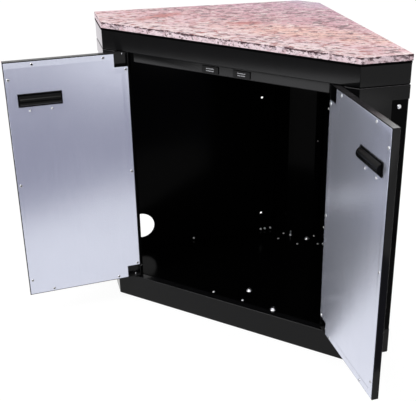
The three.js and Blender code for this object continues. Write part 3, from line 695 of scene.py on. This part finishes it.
def turned_head(shape, profile, place, axis):
    """Spins an outline of (radius, height) pairs and stands it at a place, along an axis."""
    points = [shape.verts.new((radius, 0, height)) for radius, height in profile]
    edges = [shape.edges.new(pair) for pair in zip(points, points[1:])]
    bmesh.ops.spin(shape, geom=points + edges, cent=(0, 0, 0), axis=(0, 0, 1), dvec=(0, 0, 0),
                   angle=2 * math.pi, steps=spin_steps, use_merge=True, use_duplicate=False)
    turn = Vector((0, 0, 1)).rotation_difference(Vector(axis)).to_matrix().to_4x4()
    bmesh.ops.transform(shape, matrix=Matrix.Translation(place) @ turn, verts=connected(points),
                        space=Matrix())


print("a head is turned in", spin_steps, "steps")

# %% [markdown]
# A spin leaves one point for each step where the outline meets the axis. So the doubles are merged first,
# which closes the poles, and only then are the normals worked out, because on an open shape they could
# point inwards.
#
# The merging spin also lists its edges and faces in another order each time that the script runs. The shape
# is the same, but its file wouldn't be, so the lists are sorted by the vertices, whose order stays. Three
# vertices of a face are enough to tell it from any other.

# %% Settle the order of a spun shape
telling_vertices = 3


def settle_order(shape):
    """Sorts the edges and faces of a shape by their vertices."""
    shape.verts.index_update()
    count = len(shape.verts)

    def rank(element):
        number = 0
        for index in sorted(vertex.index for vertex in element.verts)[:telling_vertices]:
            number = number * count + index
        return number

    shape.edges.sort(key=rank)
    shape.faces.sort(key=rank)


print("edges and faces are sorted by", telling_vertices, "vertices at most")

# %% One piece from many heads
pole_gap = 0.000005


def finished_mesh(name, shape):
    """The mesh of a bmesh, which is then let go."""
    mesh = bpy.data.meshes.new(name)
    shape.to_mesh(mesh)
    shape.free()
    return mesh


def fasteners(name, profile, places, body, slot, look=None):
    """One piece that holds a set of like heads, with its slot's finish or a look of its own."""
    shape = bmesh.new()
    for place, axis in places:
        turned_head(shape, profile, place, axis)
    bmesh.ops.remove_doubles(shape, verts=shape.verts, dist=pole_gap)
    bmesh.ops.recalc_face_normals(shape, faces=shape.faces)
    settle_order(shape)
    for face in shape.faces:
        face.smooth = True
    piece = add_piece(name, finished_mesh(name, shape), body)
    paint(piece, look or finishes[slot])
    print(name, "holds", len(places), "heads")


# %% [markdown]
# An outline runs from the top of the head to its foot, as pairs of a radius and a height over the sheet.
# The foot lies a little below the sheet, so that no slit of light shows under it. The rivet's pin has an
# outline of its own, because it is a piece of another finish.

# %% Outlines of rivets


def width_mm(profile):
    """How wide a turned head is, in millimetres."""
    return round(2 * 1000 * max(radius for radius, height in profile), 1)


rivet_profile = [(0, 0.0004), (0.0027, 0.0004), (0.0029, 0.0016), (0.0034, 0.0014), (0.0042, 0.0008),
                 (0.0046, 0.0001), (0.0046, -0.0006), (0, -0.0006)]
rivet_pin_profile = [(0, 0.0014), (0.0020, 0.0014), (0.0027, 0.0010), (0.0027, 0.0001), (0, 0.0001)]
dome_profile = [(0, 0.0022), (0.0014, 0.0021), (0.0026, 0.0016), (0.0034, 0.0008), (0.0036, 0.0),
                (0.0036, -0.0006), (0, -0.0006)]
print("a liner rivet is", width_mm(rivet_profile), "mm wide, a pull rivet", width_mm(dome_profile))

# %% [markdown]
# ## Places on a door
#
# The doors stand open at rest, so a place on a liner is first written for the closed door, by its distance
# from the pivot and its height, and then turned about that pivot. The pivot and the turn could be typed in
# again, but the frame's joints already hold them. Of a joint's two limits, the one farther from rest is
# the closed door, so the door at rest is turned back by that angle. In the same way, the liner itself says
# where its hinge edge and its inner face are. The right door is the left one mirrored.

# %% Measure a door
# From its pivot, the left door reaches towards plus X when closed, and the right one towards minus X.
mirror_of = {"left": 1, "right": -1}
pivots = {}
door_turns = {}
for joint in frame["joints"]:
    side = joint["child"].removesuffix("_door")
    pivots[side] = Vector(joint["pos_m"])
    door_turns[side] = Matrix.Rotation(math.radians(-max(joint["range_deg"], key=abs)), 4, "Z")

closing = door_turns["left"].inverted()
liner_vertices = nodes["left_door_liner"].data.vertices
liner_points = [closing @ (vertex.co - pivots["left"]) for vertex in liner_vertices]
liner_hinge_edge = round(min(point.x for point in liner_points), 5)
liner_face = round(max(point.y for point in liner_points), 5)
print("the liner starts", liner_hinge_edge, "m from the pivot, and its face is", liner_face, "m behind it")

# %% [markdown]
# ## Rivets of the doors
#
# Ten rivets hold a liner, three along each side and two along its top and its bottom, and two more hold the
# pull. They are put where the photograph shows them, but for the top one by the catch: there its head would
# meet the catch when the door closes, so it sits a few millimetres nearer to the hinge.

# %% Rivets of the doors
liner_rivet_places = [(0.071, 0.822), (0.2720, 0.822), (0.070, 0.0954), (0.277, 0.0954),
                      (0.340, 0.782), (0.340, 0.459), (0.340, 0.136),
                      (0.007, 0.782), (0.007, 0.458), (0.007, 0.134)]
pull_rivet_places = [(0.228, 0.688), (0.290, 0.688)]


def on_liner(side, from_edge, height):
    """A place on an open door's liner, by its distance from the hinge edge, and the way that it faces."""
    across = mirror_of[side] * (liner_hinge_edge + from_edge)
    place = pivots[side] + door_turns[side] @ Vector((across, liner_face, height))
    return place, door_turns[side] @ Vector((0, 1, 0))


for side in ("left", "right"):
    for name, outline, spots, slot in (
            ("liner_rivets", rivet_profile, liner_rivet_places, "zinc_steel"),
            ("liner_rivet_pins", rivet_pin_profile, liner_rivet_places, "black_plastic"),
            ("pull_rivets", dome_profile, pull_rivet_places, "zinc_steel")):
        heads = [on_liner(side, from_edge, height) for from_edge, height in spots]
        fasteners(side + "_" + name, outline, heads, side + "_door", slot)

# %% [markdown]
# ## Screws and bolts of the floor
#
# Inside, screws and three socket bolts hold the floor to what is under it, and one threaded stud stands up
# at the rear. They are small, but against the black paint each one is a point of light. All are turned
# shapes. A real thread is a helix, but at this size nobody can tell it from rings, so the stud's outline
# just goes in and out, and one spin makes it.

# %% Outlines of screws, bolts and the stud
screw_profile = [(0, 0.0012), (0.0012, 0.0012), (0.0016, 0.0026), (0.0030, 0.0024), (0.0041, 0.0014),
                 (0.0044, 0.0002), (0.0044, -0.0004), (0, -0.0004)]
pan_profile = [(0, 0.0050), (0.0026, 0.0050), (0.0030, 0.0068), (0.0048, 0.0064), (0.0066, 0.0050),
               (0.0075, 0.0028), (0.0077, 0.0012), (0.0098, 0.0010), (0.0100, 0.0), (0.0100, -0.0004),
               (0, -0.0004)]
socket_profile = [(0, 0.0062), (0.0029, 0.0062), (0.0032, 0.0056), (0.0032, 0.0036), (0, 0.0036)]

thread_root, thread_crest = 0.0024, 0.0032
thread_turns = 11
thread_start = 0.0052
half_pitch = 0.0006
thread = [(radius, thread_start + half_pitch * step)
          for step, radius in enumerate([thread_root, thread_crest] * thread_turns)]
stud_profile = [(0, 0.0194), (0.0016, 0.0194), *reversed(thread), (thread_root, 0.0046),
                (0.0052, 0.0042), (0.0056, 0.0030), (0.0056, -0.0004), (0, -0.0004)]
print("a screw is", width_mm(screw_profile), "mm wide, a bolt", width_mm(pan_profile))
print("the stud is", width_mm(stud_profile), "mm wide, with", thread_turns, "turns of thread")

# %% [markdown]
# The floor pan says how high its upper face is, so a head needs only its place on the plan, which was
# measured in the photograph. A socket bolt is two pieces of different finish, its head and its dark socket.

# %% Heads on the floor
floor_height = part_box("floor_pan")[1].z
screw_spots = [(-0.058, 0.033), (0.047, 0.032), (-0.039, 0.457), (-0.040, 0.503), (0.039, 0.453),
               (0.066, 0.537), (0.103, 0.487)]
bolt_spots = [(0.038, 0.094), (0.155, 0.030), (0.052, 0.505)]
stud_spots = [(-0.011, 0.500)]
for name, outline, spots, slot, look in (
        ("floor_screws", screw_profile, screw_spots, "zinc_steel", screw_steel_glint),
        ("floor_bolts", pan_profile, bolt_spots, "zinc_steel", screw_steel_glint),
        ("floor_bolt_sockets", socket_profile, bolt_spots, "black_plastic", black_plastic),
        ("floor_stud", stud_profile, stud_spots, "zinc_steel", screw_steel_glint)):
    heads = [(Vector((x, y, floor_height)), Vector((0, 0, 1))) for x, y in spots]
    fasteners(name, outline, heads, "cabinet", slot, look)

# %% [markdown]
# ## Heads on the back sides
#
# A low row of screws goes through each back side, probably into the neighbouring cabinet. On the right,
# one rivet sits higher up, on the wing of the back panel. The back sides stand at 45 degrees, so on each of
# them the distances across and into the cabinet add up to one number, which the frame gives. A place on a
# wall then needs only its Y and its height.

# %% Screws low in the back sides, and a rivet on the wing
diagonal = math.sqrt(0.5)
wall_sheet = 0.0015
seat = 0.0001
wing_face = 2 * wall_sheet + seat
wall_row_height = 0.0912
wing_rivet_depth = 0.538
wing_rivet_height = 0.449
side_sum = round(max(v.co.x + v.co.y for v in nodes["side_panel_right"].data.vertices), 6)


def on_side_wall(side, depth, height, inset):
    """A place on a back side, by its Y, its height and how far it is inside the outer face."""
    outward = -mirror_of[side]
    x = side_sum - depth - inset * 2 * diagonal
    return Vector((outward * x, depth, height)), Vector((-outward * diagonal, -diagonal, 0))


wall_heads = [on_side_wall("left", y, wall_row_height, wall_sheet) for y in (0.305, 0.482, 0.493, 0.508)]
wall_heads += [on_side_wall("right", y, wall_row_height, wall_sheet) for y in (0.305, 0.436, 0.482)]
wing_heads = [on_side_wall("right", wing_rivet_depth, wing_rivet_height, wing_face)]
fasteners("wall_screws", screw_profile, wall_heads, "cabinet", "zinc_steel", screw_steel_glint)
fasteners("wing_rivet", dome_profile, wing_heads, "cabinet", "zinc_steel")

# %% [markdown]
# ## A strip of painted shade, and a seal
#
# A thin black strip under the stone runs along the front and both flanks of the top band. It is painted shade: it
# stands in for the shadow in the slit between the slab and the band, and it shows as the black line under the slab
# along the bright left flank. The back panel laps inside the two side panels, so its top flange lies lower than
# theirs. A strip of black foam tape, stuck along the slit that this leaves under the rear rail, keeps driven rain
# out. Both are plain straight runs, so each one is a block between two points. Both are matte, because a glossy
# strip would mirror the white floor and show as a bright line.

# %% Straight runs of painted shade and tape
# A matte black for the strip of painted shade under the slab and for the tape.
shade_and_tape_black = make_black_paint("black_shade_and_tape", tone=0.0015, gloss=0.75, dust_and_highlight=0.0, IOR=1.05)


def seal_strip(name, runs, thickness, bottom, top):
    """One piece that holds straight strips, each along a line on the plan between two points."""
    shape = bmesh.new()
    for start, end in runs:
        start, along = Vector(start), Vector(end) - Vector(start)
        turn = Matrix.Rotation(math.atan2(along.y, along.x), 4, "Z")
        size = Matrix.Diagonal((along.length, thickness, top - bottom, 1))
        middle = start + along / 2
        place = Matrix.Translation((middle.x, middle.y, (bottom + top) / 2))
        bmesh.ops.create_cube(shape, size=1, matrix=place @ turn @ size)
    strip = add_piece(name, finished_mesh(name, shape), "cabinet")
    paint(strip, shade_and_tape_black)
    print(name, "is", thickness * 1000, "mm thick, with", len(runs), "runs")


# %% [markdown]
# The strip of painted shade follows the front and both flanks of the top band and ends at its upper edge. The tape
# runs along the cut-off rear corner, from below the slit up to the top of the side panels. Both are the same on
# the left and on the right, so only the right half of each is written down.

# %% The strip of painted shade under the slab and the tape at the rear
band_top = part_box("fascia")[1].z
shade_strip_thickness = 0.0012
shade_strip_bottom = 0.8900
shade_strip_front = 0.4030, -0.0002
shade_strip_flank_near = 0.4046, 0.0002
shade_strip_flank_far = 0.5050, 0.1006
tape_end = 0.0533, 0.5547
tape_thickness = 0.0022
tape_bottom = 0.8303
tape_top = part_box("side_panel_left")[1].z


def mirrored(point):
    return -point[0], point[1]


# The strip under the slab is painted shade for the slit between slab and band.
shade_strip_runs = [(mirrored(shade_strip_flank_far), mirrored(shade_strip_flank_near)), (mirrored(shade_strip_front), shade_strip_front),
            (shade_strip_flank_near, shade_strip_flank_far)]
seal_strip("slab_shade_strip", shade_strip_runs, shade_strip_thickness, shade_strip_bottom, band_top)
seal_strip("rear_seal", [(mirrored(tape_end), tape_end)], tape_thickness, tape_bottom, tape_top)

# %% [markdown]
# ## The studio: light
#
# The surround is white for the camera and for reflections, and lower for the light that it gives, so that
# the lamps shape the object. Four soft lamps add to it. The key lamp, at the front left, does most of the
# work on the stone and on both liners. The rim lamp, behind on the right, lifts the stone. The back lamp
# lays a faint gleam on the stone, and the side lamp, at the front right, fills the left liner.

# %% World
world = bpy.data.worlds.new("studio")
bpy.context.scene.world = world
world.use_nodes = True
surround = world.node_tree.nodes["Background"]
surround.inputs["Color"].default_value = (1.0, 1.0, 1.0, 1)
surround_light = 0.66
surround_shown = 0.36


def directly_seen(wire):
    """1 on rays that come straight from the camera or by way of a mirror or a glass, else 0."""
    rays = [wire.add("ShaderNodeLightPath", output=name)
            for name in ("Is Camera Ray", "Is Glossy Ray", "Is Transmission Ray")]
    return (rays[0] + rays[1] + rays[2]).clamped()


sky = Wire(world.node_tree)
feed(sky, surround, Strength=surround_light + directly_seen(sky) * surround_shown)
print("the surround lights with", surround_light, "and shows as", surround_light + surround_shown)

# %% Lamps


def soft_lamp(name, place, target, size, power):
    lamp = bpy.data.lights.new(name, "AREA")
    lamp.shape = "DISK"
    lamp.size = size
    lamp.energy = power
    holder = bpy.data.objects.new(name, lamp)
    holder.location = place
    aim = Vector(target) - Vector(place)
    holder.rotation_euler = aim.to_track_quat("-Z", "Y").to_euler()
    bpy.context.scene.collection.objects.link(holder)


soft_lamp("key_lamp", place=(-1.6, -2.6, 3.2), target=(0, 0.1, 0.4), size=1.8, power=60)
soft_lamp("rim_lamp", place=(1.8, 2.4, 2.6), target=(0, 0.2, 0.7), size=1.4, power=25)
soft_lamp("back_lamp", place=(-0.058, 2.64, 2.13), target=(0.5, -0.2, 0.83), size=0.72, power=5)
soft_lamp("side_lamp", place=(1.9, -2.0, 2.6), target=(0, 0, 0.6), size=0.9, power=12)
print("lamps:", [light.name for light in bpy.data.lights])

# %% [markdown]
# ## The studio: floor and cards
#
# The floor is one large pale sheet. It takes the object's shadow, and it glows by itself where it is seen,
# so that it shows as white without more light on the object.
#
# Bare steel and gloss paint show whatever is around them, and a studio is never empty. Photographers lay
# cards on the floor for that. These cards are seen in reflections only: they throw no light and no shadow,
# and the camera doesn't see them. Their places were found by trial.

# %% A flat sheet
brightest_paint = 0.94


def flat_sheet(name, x, y, height, colour, show, turn=0):
    """A flat sheet whose own light, seen directly or in a reflection, is a share of its colour.

    The ends in x and y are those before the sheet is turned about its own middle."""
    shape = bmesh.new()
    bmesh.ops.create_grid(shape, x_segments=1, y_segments=1, size=0.5)
    bmesh.ops.scale(shape, vec=(x[1] - x[0], y[1] - y[0], 1), verts=shape.verts)
    bmesh.ops.rotate(shape, matrix=Matrix.Rotation(math.radians(turn), 3, "Z"), verts=shape.verts)
    bmesh.ops.translate(shape, vec=(sum(x) / 2, sum(y) / 2, height), verts=shape.verts)
    mesh = finished_mesh(name, shape)
    sheet = bpy.data.objects.new(name, mesh)
    bpy.context.scene.collection.objects.link(sheet)
    material, shader, wire = new_material(name, Roughness=0.9)
    shader.inputs["Base Color"].default_value = (*(min(part, brightest_paint) for part in colour), 1)
    glow = wire.add("ShaderNodeEmission", {}, {"Color": (*colour, 1), "Strength": 1.0})
    matt = Wire(material.node_tree, shader.outputs["BSDF"])
    mixed = wire.add("ShaderNodeMixShader", {}, {0: directly_seen(wire) * show, 1: matt, 2: glow})
    feed(mixed, material.node_tree.nodes["Material Output"], Surface=mixed)
    mesh.materials.append(material)
    return sheet


floor_ends = (-9, 9)
floor_tone = (1.07, 1.07, 1.07)
floor = flat_sheet("studio_floor", floor_ends, floor_ends, height=-0.0005, colour=floor_tone, show=0.85)
print("stage:", floor.name)

# %% [markdown]
# What each card is for, found by leaving it out: the grey card darkens the middle of the left liner, and
# the side card its top. The corner card lifts that liner's upper right again. The bright card lays a light
# band along the top band of the cabinet, and the dark card keeps the rest of it and the left flank deep.
# The flank card brightens that flank a little. The three cards for the left liner overlap, so each lies a
# tenth of a millimetre above the one before.

# %% Cards that only reflections show
grey_tone = (0.20, 0.20, 0.29)
side_tone = (0.24, 0.24, 0.33)
bright_tone = (4.0, 4.0, 4.1)
dark_tone = (0.3, 0.3, 0.3)
corner_tone = (1.9, 1.9, 1.9)
flank_tone = (1.36, 1.31, 1.37)
liner_turn = -60.3
front_turn = -11
low, middle, high = 0.002, 0.0021, 0.0022
for name, x, y, height, tone, show, turn in (
        ("grey_card", (0.119, 1.439), (-1.98, -0.161), low, grey_tone, 0.9, liner_turn),
        ("side_card", (0.924, 2.014), (-2.669, -1.449), middle, side_tone, 0.9, liner_turn),
        ("bright_card", (-2.15, 0.4), (-2.60, -1.7), low, bright_tone, 1.0, front_turn),
        ("dark_card", (-3.6, 1.2), (-6.0, -2.66), low, dark_tone, 1.0, front_turn),
        ("corner_card", (1.9, 2.9), (-1.7, -0.7), high, corner_tone, 1.0, 0),
        ("flank_card", (-4.4, -2.1), (1.1, 3.4), low, flank_tone, 1.0, 0)):
    card = flat_sheet(name, x, y, height, tone, show, turn)
    card.visible_camera = False
    card.visible_diffuse = False
    card.visible_shadow = False
    print(name, "lies at", height, "m")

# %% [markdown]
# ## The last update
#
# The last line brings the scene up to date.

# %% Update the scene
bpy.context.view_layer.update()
